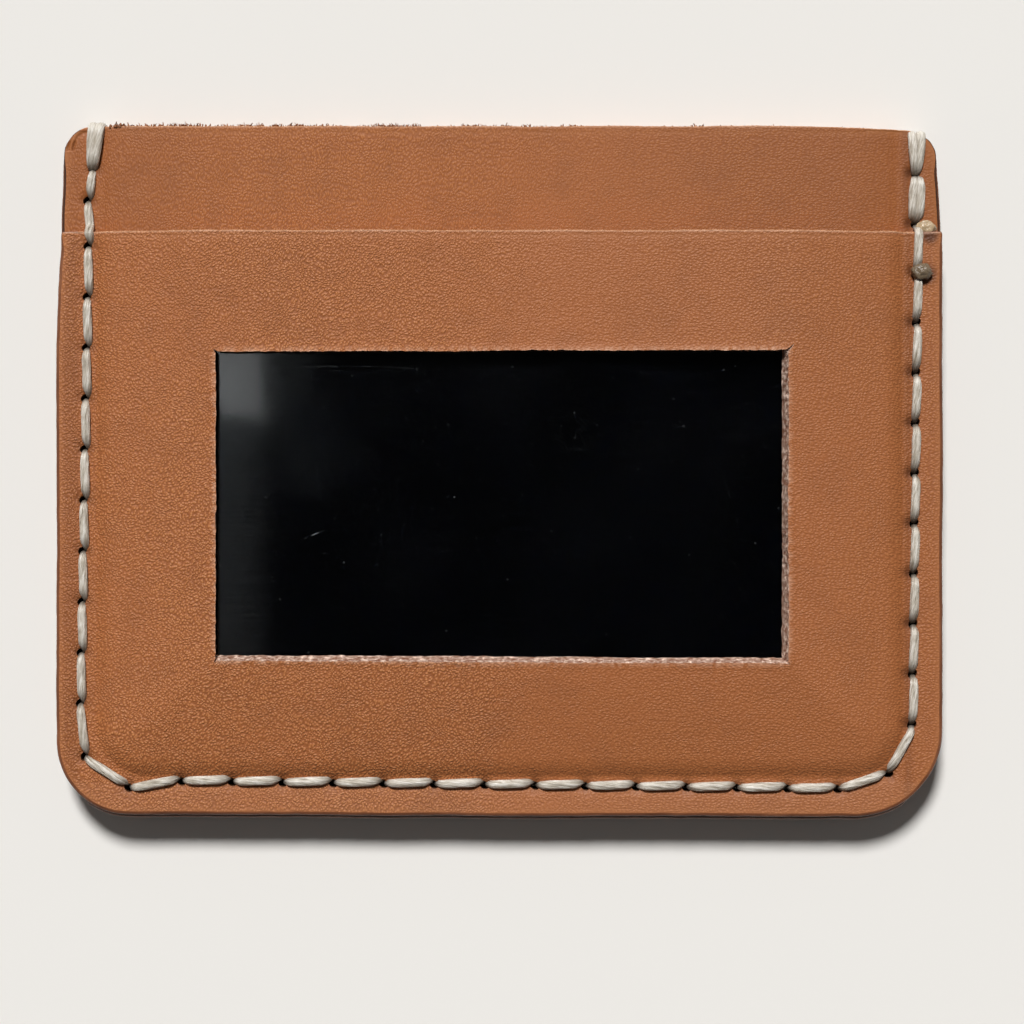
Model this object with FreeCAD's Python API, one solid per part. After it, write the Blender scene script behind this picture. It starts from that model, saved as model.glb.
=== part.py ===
import FreeCAD, Part
import math
import os

# A hand-sewn leather card holder with a window. Three sheets of vegetable-tanned leather are stacked and saddle
# stitched round the left, bottom and right sides. The pocket between the back and middle panels opens at the top
# edge, and the lower window pocket between the middle and front panels opens at the front panel's edge. A clear
# pane is taped behind the window, and a plain card lies in the window pocket.
#
# The holder lies on its back. X runs across it, Y points at the pocket mouths and Z comes out of the front.
# The origin is under the middle of the holder, on the surface that it lies on. All sizes are in millimetres.

Vec = FreeCAD.Vector

# Leather sheets
WIDTH = 102.0
HEIGHT = 79.6
LEATHER = 1.5
TOP_HALF_WIDTH = 50.3      # the sides draw in a little towards the top
SHOULDER_Y = 12.0          # where that begins
TOP_CORNER_R = 3.5
LEFT_CORNER_R = 8.5        # the two bottom corners were rounded by hand and differ
RIGHT_CORNER_R = 10.5
MOUTH_DROP = 12.3          # the front panel ends this far below the top edge

# Thread and its holes
THREAD_R = 0.40
THREAD_GAP = 0.05          # clear space between the thread and the leather
LEG_U = 0.42               # the two threads in a hole stand this far to each side of its centre
TAIL_U = 3 * LEG_U         # a third thread lies beside them
FRONT_TAIL_SHORT = 0.5     # the front tail ends this far short of its hole
BEND_R = 0.45              # how tightly the thread turns into a hole

# Heights of the stack. At the seam the sheets are pressed together, inside it they swell away from each other.
SEAM_Z = 0.9               # underside of the back panel at the seam
MIDDLE_RISE = 0.5          # swell of the middle panel
SWELL_HALF_WIDTH = 43.4    # flat top of the swell, just wider than a card
SWELL_BOTTOM = 7.2         # from the bottom edge up to that flat top
SLOPE = 2.4                # width of the sloping band round it
SWELL_CORNER_R = 3.0

# Card and pane
CARD_WIDTH = 85.6
CARD_HEIGHT = 53.98
CARD_THICKNESS = 0.76
CARD_CORNER_R = 3.18
CARD_LIFT = 0.7            # bottom edge of the card above the bottom of the swell
PLAY = 0.12                # clear space above and below the card
PANE = 0.3
TAPE = 0.1
TAPE_WIDTH = 3.2
PANE_LAP = 4.0             # how far the pane reaches behind the leather round the window
TAPE_INSET = 0.5

# Everything above is stacked from the outline's own edges. The thread stands proud of the top edge, so the
# leather sits that much low of centre.
THREAD_STAND = THREAD_GAP + 2 * THREAD_R
TOP_Y = (HEIGHT - THREAD_STAND) / 2
BOTTOM_Y = TOP_Y - HEIGHT
MOUTH_Y = TOP_Y - MOUTH_DROP
MIDDLE_Z = SEAM_Z + LEATHER
FRONT_Z = MIDDLE_Z + LEATHER
STACK_TOP_Z = FRONT_Z + LEATHER
BACK_DROP = SEAM_Z
CARD_Z = FRONT_Z + MIDDLE_RISE + PLAY
PANE_Z = CARD_Z + CARD_THICKNESS + PLAY
TAPE_Z = PANE_Z + PANE
FRONT_RISE = TAPE_Z + TAPE - FRONT_Z
SWELL_Y = BOTTOM_Y + SWELL_BOTTOM

# The window, cut with a leaning knife: wide at the outside of the leather, a little smaller at its underside.
# Each is left, bottom, right, top.
WINDOW_OUTSIDE = (-32.5, -22.3, 33.3, 13.5)
WINDOW_INSIDE = (-32.3, -21.7, 32.5, 13.2)

# Stitch holes in sewing order: down the left side, along the bottom and up the right side. A run is its first
# hole, its last hole and how many holes it has, evenly spaced.
HOLE_RUNS = [
    ((-47.0, 34.6), (-47.6, 30.9), 2),
    ((-47.3, 25.5), (-48.2, -27.1), 10),
    ((-47.7, -33.2), (-42.7, -36.9), 2),
    ((-36.6, -36.2), (38.9, -37.1), 14),
    ((44.8, -35.3), (44.8, -35.3), 1),
    ((47.1, -29.5), (47.8, 34.0), 12),
]

# Melted thread ends: hole number from the right-hand end, distance outwards from it, radius, and the tail it ends
MELTED_ENDS = {
    "melted_end_upper": (1, 1.65, 0.75, "thread_tail_front"),
    "melted_end_lower": (2, 1.8, 0.85, "thread_tail_back"),
}


def rounded_face(corners):
    """A flat face at z = 0 through (x, y, radius) corners, taken anticlockwise."""
    turns = []
    for i, (x, y, radius) in enumerate(corners):
        here = Vec(x, y, 0)
        before = Vec(*corners[i - 1][:2], 0) - here
        after = Vec(*corners[(i + 1) % len(corners)][:2], 0) - here
        before.normalize()
        after.normalize()
        half = before.getAngle(after) / 2
        inwards = before + after
        reach = radius / math.tan(half) if radius else 0
        if radius:
            inwards.normalize()
        middle = here + inwards * (radius / math.sin(half) - radius) if radius else here
        turns.append((here + before * reach, middle, here + after * reach, radius))
    edges = []
    for i, (start, middle, end, radius) in enumerate(turns):
        if radius:
            edges.append(Part.Arc(start, middle, end).toShape())
        edges.append(Part.LineSegment(end, turns[(i + 1) % len(turns)][0]).toShape())
    return Part.Face(Part.Wire(edges))


def lifted(shape, z):
    moved = shape.copy()
    moved.translate(Vec(0, 0, z))
    return moved


def sheet(face, z, thickness):
    return lifted(face, z).extrude(Vec(0, 0, thickness))


def rectangle(left, bottom, right, top, radius=0.0):
    corners = [(left, bottom), (right, bottom), (right, top), (left, top)]
    return rounded_face([(x, y, radius) for x, y in corners])


def panel_outline(top_y, top_radius):
    """The outer edge that all panels share, up to top_y."""
    half = WIDTH / 2
    share = (top_y - SHOULDER_Y) / (TOP_Y - SHOULDER_Y)
    top_half = half + (TOP_HALF_WIDTH - half) * share
    return rounded_face([
        (-half, BOTTOM_Y, LEFT_CORNER_R),
        (half, BOTTOM_Y, RIGHT_CORNER_R),
        (half, SHOULDER_Y, 0),
        (top_half, top_y, top_radius),
        (-top_half, top_y, top_radius),
        (-half, SHOULDER_Y, 0),
    ])


def swell(z, rise):
    """The block that a panel's middle stands out by: a low frustum that runs out through the pocket mouth."""
    past_mouth = TOP_Y + 10
    wires = []
    for grow, level in ((SLOPE, z), (0, z + rise)):
        half = SWELL_HALF_WIDTH + grow
        bottom = SWELL_Y - grow
        radius = SWELL_CORNER_R + grow
        face = rounded_face([
            (-half, bottom, radius),
            (half, bottom, radius),
            (half, past_mouth, 0),
            (-half, past_mouth, 0),
        ])
        wires.append(lifted(face.OuterWire, level))
    return Part.makeLoft(wires, True, True)


def panel(outline, z, rise):
    """A sheet of leather whose margin lies at z and whose middle is pressed out by rise, up or down."""
    flat = sheet(outline, z, LEATHER)
    outer, inner = (z + LEATHER, z) if rise > 0 else (z, z + LEATHER)
    pressed = flat.fuse(swell(outer, rise)).cut(swell(inner, rise))
    reach = sheet(outline, -HEIGHT, 2 * HEIGHT)
    return pressed.common(reach).removeSplitter()


class Hole:
    """A stitch hole: its centre, the way the seam runs there, and the way to the outer edge."""

    def __init__(self, point, before, after):
        self.point = point
        self.along = after - before
        self.along.normalize()
        self.outwards = Vec(self.along.y, -self.along.x, 0)
        self.in_front = point.y < MOUTH_Y

    def at(self, u, z):
        """The point u outwards of the centre, at height z."""
        return Vec(self.point.x, self.point.y, z) + self.outwards * u

    def top(self):
        """Height of a thread's centre where it lies on the front side."""
        surface = STACK_TOP_Z if self.in_front else FRONT_Z
        return surface + THREAD_GAP + THREAD_R


BACK_THREAD_Z = SEAM_Z - THREAD_GAP - THREAD_R


def make_holes():
    points = []
    for (x0, y0), (x1, y1), count in HOLE_RUNS:
        for i in range(count):
            share = i / max(count - 1, 1)
            points.append(Vec(x0 + (x1 - x0) * share, y0 + (y1 - y0) * share, 0))
    last = len(points) - 1
    return [Hole(p, points[max(i - 1, 0)], points[min(i + 1, last)]) for i, p in enumerate(points)]


def hole_cutters(holes):
    """A slot through each hole, across the seam, wide enough for the threads that pass it."""
    half_width = THREAD_R + THREAD_GAP
    far = len(holes) - 1
    extra_leg = {1: TAIL_U - LEG_U, far - 2: TAIL_U - LEG_U}
    cutters = []
    for i, hole in enumerate(holes):
        inner = -LEG_U - half_width
        outer = LEG_U + half_width + extra_leg.get(i, 0)
        face = rounded_face([
            (-half_width, inner, half_width * 0.99),
            (half_width, inner, half_width * 0.99),
            (half_width, outer, half_width * 0.99),
            (-half_width, outer, half_width * 0.99),
        ])
        slot = sheet(face, -1, STACK_TOP_Z + 3)
        angle = math.degrees(math.atan2(hole.outwards.y, hole.outwards.x)) - 90
        slot.rotate(Vec(0, 0, 0), Vec(0, 0, 1), angle)
        slot.translate(hole.point)
        cutters.append(slot)
    return cutters


def thread_along(points, closed=False):
    """A round thread through points, with its corners turned to BEND_R."""
    count = len(points)
    turns = []
    for i, here in enumerate(points):
        if not closed and i in (0, count - 1):
            turns.append((here, None, here))
            continue
        before = points[i - 1] - here
        after = points[(i + 1) % count] - here
        before.normalize()
        after.normalize()
        half = before.getAngle(after) / 2
        reach = BEND_R / math.tan(half)
        inwards = before + after
        inwards.normalize()
        middle = here + inwards * (BEND_R / math.sin(half) - BEND_R)
        turns.append((here + before * reach, middle, here + after * reach))
    edges = []
    for i, (start, middle, end) in enumerate(turns):
        if middle is not None:
            edges.append(Part.Arc(start, middle, end).toShape())
        if closed or i < count - 1:
            edges.append(Part.LineSegment(end, turns[(i + 1) % count][0]).toShape())
    path = Part.Wire(edges)
    first = edges[0]
    start = first.valueAt(first.FirstParameter)
    heading = first.tangentAt(first.FirstParameter)
    ring = Part.Wire(Part.makeCircle(THREAD_R, start, heading))
    return path.makePipeShell([ring], True, True)


def stitch_route(holes, on_front):
    """Half of the thread, from the middle of the first hole to the middle of the last, over and under in turn."""
    first_side = 1 if on_front else -1
    points = [holes[0].at(LEG_U, MIDDLE_Z)]
    for i, (a, b) in enumerate(zip(holes, holes[1:])):
        side = first_side if i % 2 == 0 else -first_side
        if side > 0:
            points.append(a.at(LEG_U, a.top()))
            points += step_over_mouth(a, b)
            points.append(b.at(-LEG_U, b.top()))
        else:
            start_u = LEG_U if i == 0 else -LEG_U
            points.append(a.at(start_u, BACK_THREAD_Z))
            points.append(b.at(LEG_U, BACK_THREAD_Z))
    end_u = -LEG_U if side > 0 else LEG_U
    points.append(holes[-1].at(end_u, MIDDLE_Z))
    return points


def step_over_mouth(a, b):
    """Where a front stitch climbs over the front panel's edge, a point above that edge."""
    if a.in_front == b.in_front:
        return []
    high = max(a.top(), b.top())
    above = MOUTH_Y + THREAD_R + THREAD_GAP
    share = (a.point.y - above) / (a.point.y - b.point.y)
    start, end = a.at(LEG_U, high), b.at(-LEG_U, high)
    return [start + (end - start) * share]


def over_edge(hole, u, z):
    """A point clear of the top edge, u outwards of a hole."""
    point = hole.at(u, z)
    point.y = TOP_Y + THREAD_GAP + THREAD_R
    return point


def edge_loop(hole, u):
    """One turn of thread round the top edge, through a hole."""
    top = hole.top()
    return thread_along([
        hole.at(u, BACK_THREAD_Z),
        hole.at(u, top),
        over_edge(hole, u, top),
        over_edge(hole, u, BACK_THREAD_Z),
    ], closed=True)


def tail_on_front(holes):
    """From the last hole round the top edge, over the other tail, and down the front to a melted end."""
    last, before = holes[-1], holes[-2]
    low = last.top()
    high = low + 2 * THREAD_R + THREAD_GAP
    end = before.at(TAIL_U, low) + before.along * FRONT_TAIL_SHORT
    return thread_along([
        last.at(-LEG_U, MIDDLE_Z),
        last.at(-LEG_U, BACK_THREAD_Z),
        over_edge(last, -LEG_U, BACK_THREAD_Z),
        over_edge(last, -LEG_U, high),
        last.at(TAIL_U, high),
        end,
    ])


def tail_on_back(holes):
    """From the last hole round the top edge, down the back and out through the second hole before it."""
    last, out = holes[-1], holes[-3]
    top = last.top()
    return thread_along([
        last.at(LEG_U, MIDDLE_Z),
        last.at(LEG_U, top),
        over_edge(last, TAIL_U, top),
        over_edge(last, TAIL_U, BACK_THREAD_Z),
        out.at(TAIL_U, BACK_THREAD_Z),
        out.at(TAIL_U, STACK_TOP_Z + THREAD_GAP),
    ])


def melted_end(hole, outwards, radius):
    """A bead of melted thread: a ball with a flat foot on the leather."""
    foot = hole.top() - THREAD_R
    bead = Part.makeSphere(radius, hole.at(outwards, foot + radius * 0.6))
    floor = Part.makeBox(4 * radius, 4 * radius, 4 * radius)
    floor.translate(hole.at(outwards, foot - 4 * radius) - Vec(2 * radius, 2 * radius, 0))
    return bead.cut(floor)


def window_cutter():
    """The slanted cut-out, run on past both faces of the front panel."""
    plateau = FRONT_Z + FRONT_RISE
    lean = [o - i for o, i in zip(WINDOW_OUTSIDE, WINDOW_INSIDE)]
    past = 0.2
    sections = []
    for height in (-past, LEATHER + past):
        share = height / LEATHER
        edges = [i + d * share for i, d in zip(WINDOW_INSIDE, lean)]
        sections.append(lifted(rectangle(*edges).OuterWire, plateau + height))
    return Part.makeLoft(sections, True, True)


def grown(edges, by):
    left, bottom, right, top = edges
    return (left - by, bottom - by, right + by, top + by)


def pane_tape():
    """Four strips of double-sided tape between the pane and the leather."""
    left, bottom, right, top = grown(WINDOW_INSIDE, PANE_LAP)
    inner_left, inner_bottom, inner_right, inner_top = grown(WINDOW_INSIDE, PANE_LAP - TAPE_WIDTH)
    strips = {
        "pane_tape_top": (left, inner_top, right, top),
        "pane_tape_bottom": (left, bottom, right, inner_bottom),
        "pane_tape_left": (left, inner_bottom, inner_left, inner_top),
        "pane_tape_right": (inner_right, inner_bottom, right, inner_top),
    }
    return {name: sheet(rectangle(*edges), TAPE_Z, TAPE) for name, edges in strips.items()}


def card():
    bottom = SWELL_Y + CARD_LIFT
    half = CARD_WIDTH / 2
    return sheet(rectangle(-half, bottom, half, bottom + CARD_HEIGHT, CARD_CORNER_R), CARD_Z, CARD_THICKNESS)


def build():
    holes = make_holes()
    cutters = hole_cutters(holes)
    below_mouth = [c for c, h in zip(cutters, holes) if h.in_front]
    full = panel_outline(TOP_Y, TOP_CORNER_R)
    pocket = panel_outline(MOUTH_Y, 0)
    parts = {
        "back_panel": panel(full, SEAM_Z, -BACK_DROP).cut(cutters),
        "middle_panel": panel(full, MIDDLE_Z, MIDDLE_RISE).cut(cutters),
        "front_panel": panel(pocket, FRONT_Z, FRONT_RISE).cut(below_mouth + [window_cutter()]),
        "window_pane": sheet(rectangle(*grown(WINDOW_INSIDE, PANE_LAP)), PANE_Z, PANE),
        "id_card": card(),
        "thread_half_a": thread_along(stitch_route(holes, True)),
        "thread_half_b": thread_along(stitch_route(holes, False)),
        "edge_wrap_left": Part.makeCompound([edge_loop(holes[0], -LEG_U), edge_loop(holes[1], TAIL_U)]),
        "thread_tail_front": tail_on_front(holes),
        "thread_tail_back": tail_on_back(holes),
    }
    parts.update(pane_tape())
    for name, (place, outwards, radius, tail) in MELTED_ENDS.items():
        parts[name] = melted_end(holes[-1 - place], outwards, radius).cut(parts[tail])
    return parts


os.makedirs("parts", exist_ok=True)
for name, shape in build().items():
    print(f"{name}: {len(shape.Solids)} solid, valid {shape.isValid()}, {shape.Volume:.1f} mm3")
    shape.exportStep(f"parts/{name}.step")
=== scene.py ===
import math
import random

import bpy
import bmesh
import numpy as np
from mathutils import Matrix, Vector, kdtree, noise
from mathutils.geometry import delaunay_2d_cdt


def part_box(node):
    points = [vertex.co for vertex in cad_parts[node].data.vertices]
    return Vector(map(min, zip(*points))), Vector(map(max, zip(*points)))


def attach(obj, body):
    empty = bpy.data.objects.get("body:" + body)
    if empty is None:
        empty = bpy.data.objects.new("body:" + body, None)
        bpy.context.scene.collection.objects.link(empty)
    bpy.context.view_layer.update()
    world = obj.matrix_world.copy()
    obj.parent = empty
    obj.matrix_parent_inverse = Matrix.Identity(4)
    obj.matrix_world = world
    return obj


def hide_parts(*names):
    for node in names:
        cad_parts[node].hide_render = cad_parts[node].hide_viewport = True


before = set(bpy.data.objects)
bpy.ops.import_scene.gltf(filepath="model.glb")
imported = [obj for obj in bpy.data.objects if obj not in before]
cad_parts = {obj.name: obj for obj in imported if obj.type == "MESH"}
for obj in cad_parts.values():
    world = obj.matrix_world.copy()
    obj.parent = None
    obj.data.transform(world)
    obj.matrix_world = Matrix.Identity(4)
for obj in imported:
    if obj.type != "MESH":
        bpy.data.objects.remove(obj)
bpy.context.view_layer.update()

# Shapes are worked out in millimetres and turned into metres as each mesh is made.
MM = 0.001
random.seed(11)


def part_way(value, length):
    """How far value has come along length, from 0 to 1."""
    return np.clip(value / length, 0, 1)


def bell(value, width):
    """1 where value is 0, dying away over width on both sides."""
    return np.exp(-(value / width) ** 2)


def smooth(share):
    """A share from 0 to 1 that starts and ends gently."""
    return share * share * (3 - 2 * share)


# ---- sizes from the frame


def box_mm(node):
    low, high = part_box(node)
    return low / MM, high / MM


BACK_LOW, BACK_HIGH = box_mm("back_panel")
MIDDLE_LOW, MIDDLE_HIGH = box_mm("middle_panel")
FRONT_LOW, FRONT_HIGH = box_mm("front_panel")
CARD_LOW, CARD_HIGH = box_mm("id_card")

LEATHER = 1.5
LEFT, RIGHT = BACK_LOW.x, BACK_HIGH.x
BOTTOM, TOP = BACK_LOW.y, BACK_HIGH.y
MOUTH = FRONT_HIGH.y
MIDDLE_Z = MIDDLE_LOW.z
FRONT_Z = FRONT_LOW.z
BACK_Z = MIDDLE_Z - LEATHER
STACK_TOP = FRONT_Z + LEATHER
FRONT_RISE = FRONT_HIGH.z - STACK_TOP
MIDDLE_RISE = MIDDLE_HIGH.z - FRONT_Z
BACK_DROP = BACK_Z - BACK_LOW.z

# Hand-cut outline: left edge, right edge, and how the top and bottom edges lean
TOP_LEFT_X, TOP_RIGHT_X = LEFT + 0.85, RIGHT - 0.8
TOP_SAG_X, TOP_SAG = 35.5, 0.50
BOTTOM_LEFT_LIFT = 0.25
LEFT_SHOULDER_Y, RIGHT_SHOULDER_Y = 12.0, 24.0
LEFT_CORNER_R, RIGHT_CORNER_R, TOP_CORNER_R = 8.5, 10.2, 3.2
REAR_PROUD = 0.17          # above the mouth, the two rear layers are cut this much larger
FRONT_TUCK = 0.20          # the front panel draws in this much at the left end of its mouth
REAR_BELOW = 0.48          # how far the rear panels show below the front one,
REAR_BELOW_Y = -37.5       # from here down
WRAP_NOTCH_X = 48.5
WRAP_NOTCH = 0.14          # how far the turns of thread at the top right bite into the edge

# Edges: radius worn or bevelled onto the outside, and the sharp raw cuts
EDGE_R = 0.42
RAW_R = 0.10
ROUNDED_ROUGH, WALL_ROUGH = 0.02, 0.07   # how uneven the rounding and the flat of the edge are
ALONG_CUT = 0.17           # a row of points follows each long cut this far inside it
LOOP_STEP = 0.30

# Window: corners of the cut at the outside of the leather and at its underside, clockwise from bottom left.
# The knife leaned, so the left and top walls are undercut and the right and bottom walls face out.
WINDOW_OUTSIDE = [(-32.40, -22.12), (-32.35, 13.15), (33.00, 13.40), (33.00, -22.42)]
WINDOW_INSIDE = [(-32.60, -21.55), (-32.60, 13.45), (32.42, 13.70), (32.42, -21.90)]
CORNER_NICKS = (0.20, 0.30, 0.75, 0.15)    # how far the knife ran past each corner
LIP = 0.12                 # the knife raised the leather this much round the window
LIP_WIDTH = 0.45
WINDOW_STEPS = (160, 290)  # points along its short and long sides

# The swell of each panel starts inside the seam
SEAM_HALF = 46.3
SEAM_BOTTOM = BOTTOM + 4.7
SEAM_CORNER = 6.0
FRONT_SWELL, MIDDLE_SWELL, BACK_SWELL = 6.0, 6.5, 10.0
STEEP_WIDTH, STEEP_SHARE, GENTLE_WIDTH = 2.2, 0.27, 12.5

# Stitch holes in sewing order, down the left, along the bottom and up the right: first hole, last hole, count
HOLE_RUNS = [
    ((-47.0, 34.6), (-47.6, 30.9), 2),
    ((-47.3, 25.5), (-48.2, -27.1), 10),
    ((-47.7, -33.2), (-42.7, -36.9), 2),
    ((-36.6, -36.2), (38.9, -37.1), 14),
    ((44.8, -35.3), (44.8, -35.3), 1),
    ((47.1, -29.5), (47.8, 34.0), 12),
]
HOLE_LENGTH, HOLE_SLANT, HOLE_SIDES = 1.02, 0.12, 14
# How far outwards of each hole's centre the awl's cut shows, and the thread lies, by the way the seam runs
HOLE_OUT = {"down": 0.05, "across": -0.08, "up": 0.32}
HOLE_WIDTH = {"down": 0.95, "across": 1.06, "up": 1.12}
THREAD_OUT = {"down": -0.12, "across": -0.26, "up": 0.38}
GAP = {"down": 0.0, "across": 0.06, "up": 0.13}     # how much more of a hole the stitches leave open
PUCKER, PUCKER_R = 0.26, 0.75
GROOVE, GROOVE_R = 0.12, 0.55
# The creased corner of the middle panel
CREASED_X = -45.2
CREASE_CENTRE = (-47.7, 36.6)
CREASE_RADII = (2.6, 3.2)
CREASE_WAY, CREASE_DEPTH = 2.45, 0.28    # the way they face, in radians from +X
CREASE_SHARES = (0.62, 0.84)   # where the wrinkles run, as shares of the way out to the edge

# Thread: half width and half height of a stitch at its fattest
THREAD_W, THREAD_H = 0.51, 0.40
THREAD_LIFT = 0.33         # height of its middle above the leather
THREAD_SIDES = 36
STITCH_STEPS = 30
FIBRE_TWIST = 0.30         # radians a millimetre

# ---- node helpers


class Nodes:
    """A node tree built by short calls."""

    def __init__(self, owner):
        owner.use_nodes = True
        self.tree = owner.node_tree

    def node(self, kind, inputs=None, **settings):
        made = self.tree.nodes.new(kind)
        for key, value in settings.items():
            setattr(made, key, value)
        for key, value in (inputs or {}).items():
            self.feed(made.inputs[key], value)
        return made

    def feed(self, socket, value):
        if isinstance(value, bpy.types.NodeSocket):
            self.tree.links.new(value, socket)
        else:
            socket.default_value = value

    def place(self, scale=(1, 1, 1), turn=0.0, shift=(0, 0, 0)):
        """Object coordinates in millimetres, turned about Z and then stretched."""
        spot = self.node("ShaderNodeTexCoord").outputs["Object"]
        turned = self.node("ShaderNodeMapping", {"Vector": spot, "Rotation": (0, 0, turn)}).outputs[0]
        size = [s / MM for s in scale]
        return self.node("ShaderNodeMapping", {"Vector": turned, "Scale": size, "Location": shift}).outputs[0]

    def noise(self, where, scale, detail=2.0, rough=0.5):
        values = {"Vector": where, "Scale": scale, "Detail": detail, "Roughness": rough}
        return self.node("ShaderNodeTexNoise", values).outputs["Fac"]

    def cells(self, where, scale, randomness=1.0):
        """Distance from the middle of the nearest cell, seen from above."""
        values = {"Vector": where, "Scale": scale, "Randomness": randomness}
        return self.node("ShaderNodeTexVoronoi", values, voronoi_dimensions="2D").outputs["Distance"]

    def math(self, operation, a, b=0.0, c=0.0):
        made = self.node("ShaderNodeMath", operation=operation)
        for socket, value in zip(made.inputs, (a, b, c)):
            self.feed(socket, value)
        return made.outputs[0]

    def span(self, value, low, high, out_low=0.0, out_high=1.0):
        values = {"Value": value, "From Min": low, "From Max": high, "To Min": out_low, "To Max": out_high}
        return self.node("ShaderNodeMapRange", values, interpolation_type="SMOOTHSTEP").outputs[0]

    def times(self, a, b):
        return self.math("MULTIPLY", a, b)

    def plus(self, a, b):
        return self.math("ADD", a, b)

    def minus(self, a, b):
        return self.math("SUBTRACT", a, b)

    def most(self, a, b):
        return self.math("MAXIMUM", a, b)

    def mix(self, share, a, b):
        return self.node("ShaderNodeMix", {"Factor": share, 6: a, 7: b}, data_type="RGBA").outputs[2]

    def ramp(self, value, *stops):
        made = self.node("ShaderNodeValToRGB", {"Fac": value})
        ramp = made.color_ramp
        while len(ramp.elements) < len(stops):
            ramp.elements.new(0.5)
        for element, (place, colour) in zip(ramp.elements, stops):
            element.position = place
            element.color = colour
        return made.outputs[0]

    def attribute(self, name):
        return self.node("ShaderNodeAttribute", attribute_name=name).outputs["Fac"]

    def bump(self, height, depth):
        """depth is how far, in millimetres, a height of 1 stands out."""
        return self.node("ShaderNodeBump", {"Height": height, "Distance": depth * MM}).outputs[0]


class Shader(Nodes):
    """The nodes of a new material."""

    def __init__(self, name):
        self.material = bpy.data.materials.new(name)
        super().__init__(self.material)
        self.bsdf = self.tree.nodes["Principled BSDF"]
        self.output = self.tree.nodes["Material Output"]

    def set(self, **values):
        """Feeds the Principled shader's sockets, by their names, and returns the material."""
        names = {key.replace("_", " ").lower(): key for key in values}
        for socket in self.bsdf.inputs:
            key = names.get(socket.name.lower())
            if key:
                self.feed(socket, values[key])
        return self.material


def srgb(red, green, blue):
    """An everyday 0 to 255 colour as Blender's linear one."""
    parts = [c / 255 for c in (red, green, blue)]
    return tuple(c / 12.92 if c <= 0.04045 else ((c + 0.055) / 1.055) ** 2.4 for c in parts) + (1.0,)


# ---- materials


def leather_grain(name, tint, depth, slant, stretch, pitch, contrasts):
    """Pebbled vegetable-tanned grain.

    tint scales red, green and blue. At the left the pebbles are pitch apart, drawn out by stretch and turned
    by slant degrees, and at the right they lie nearly level. contrasts are for the left and the right.
    """
    s = Shader(name)
    even = s.place()
    sway = s.node("ShaderNodeTexNoise", {"Vector": even, "Scale": 0.30, "Detail": 2.0}).outputs["Color"]
    bent = s.node("ShaderNodeVectorMath", {0: sway, 3: 1.2}, operation="SCALE").outputs[0]

    def grain(turn, stretch, scale):
        where = s.place((1, stretch, 1), turn)
        where = s.node("ShaderNodeVectorMath", {0: where, 1: bent}, operation="ADD").outputs[0]
        pebbles = s.span(s.cells(where, scale, 0.85), 0.05, 0.62, 0.50, 0.0)
        fine = s.times(s.noise(where, scale * 1.5, 1.0, 0.5), 0.70)
        return s.plus(pebbles, fine)

    across = s.node("ShaderNodeSeparateXYZ", {"Vector": even}).outputs["X"]
    drift = s.plus(across, s.times(s.noise(even, 0.05, 2.0), 30.0))
    to_right = s.span(drift, 8.0, 44.0)
    slanting = grain(math.radians(slant), stretch, 1 / pitch)
    level = grain(math.radians(3), 1.35, 2.5)
    height = s.node("ShaderNodeMix", {0: to_right, 2: slanting, 3: level}).outputs[0]
    contrast = s.span(to_right, 0.0, 1.0, *contrasts)
    height = s.math("MULTIPLY_ADD", s.minus(height, 0.53), contrast, 0.53)
    patch = s.noise(even, 0.045, 4.0, 0.55)
    blotch = s.noise(even, 0.22, 4.0, 0.65)
    streak = s.noise(s.place((0.35, 3.4, 1), math.radians(3)), 0.8, 3.0, 0.6)

    def tone(red, green, blue):
        return srgb(red * tint[0], green * tint[1], blue * tint[2])

    # darker in the pebbles' hollows and lighter on their tops: the grain's own colour, with painted shade and
    # painted highlight
    colour = s.ramp(height, (0.28, tone(136, 78, 38)), (0.53, tone(161, 96, 51)), (0.86, tone(196, 131, 82)))
    colour = s.mix(s.span(patch, 0.36, 0.66, 0.0, 0.40), colour, tone(166, 99, 55))
    colour = s.mix(s.span(blotch, 0.44, 0.74, 0.0, 0.30), colour, tone(134, 80, 45))
    colour = s.mix(s.span(streak, 0.48, 0.80, 0.0, 0.22), colour, tone(172, 109, 66))
    # painted shade: the grain grows darker towards the right
    colour = s.mix(s.span(across, -20.0, 45.0, 0.0, 0.22), colour, tone(134, 82, 47))
    pores = s.cells(even, 0.11)
    colour = s.mix(s.span(pores, 0.006, 0.012, 0.40, 0.0), colour, srgb(92, 54, 32))
    colour = s.mix(s.times(s.attribute("edge"), 0.55), colour, tone(172, 114, 74))
    # darker where there is dirt, and painted shade round the holes, in dimples and creases, inside the right
    # seam and below the melted ends
    colour = s.mix(s.attribute("dirt_and_shade"), colour, srgb(80, 41, 17))
    # paler rims, mostly painted highlight where cut edges and the raised window lip catch the light
    colour = s.mix(s.attribute("rim"), colour, srgb(222, 176, 146))

    relief = s.times(height, s.minus(1.0, s.times(s.attribute("edge"), 0.75)))
    return s.set(base_color=colour, normal=s.bump(relief, depth), specular_ior_level=0.40,
                 roughness=s.span(height, 0.2, 0.9, 0.66, 0.48))


def raw_edge(name, pale, deep, along=(1, 1, 0.25)):
    """A fresh cut through leather: pale packed fibres."""
    s = Shader(name)
    where = s.place(along)
    fibres = s.noise(where, 3.6, 4.0, 0.75)
    lumps = s.noise(s.place(), 1.4, 3.0, 0.6)
    colour = s.ramp(fibres, (0.40, deep), (0.60, pale))
    colour = s.mix(s.span(lumps, 0.40, 0.65, 0.70, 0.0), colour, deep)
    return s.set(base_color=colour, normal=s.bump(fibres, 0.20), roughness=0.85, specular_ior_level=0.2)


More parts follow.
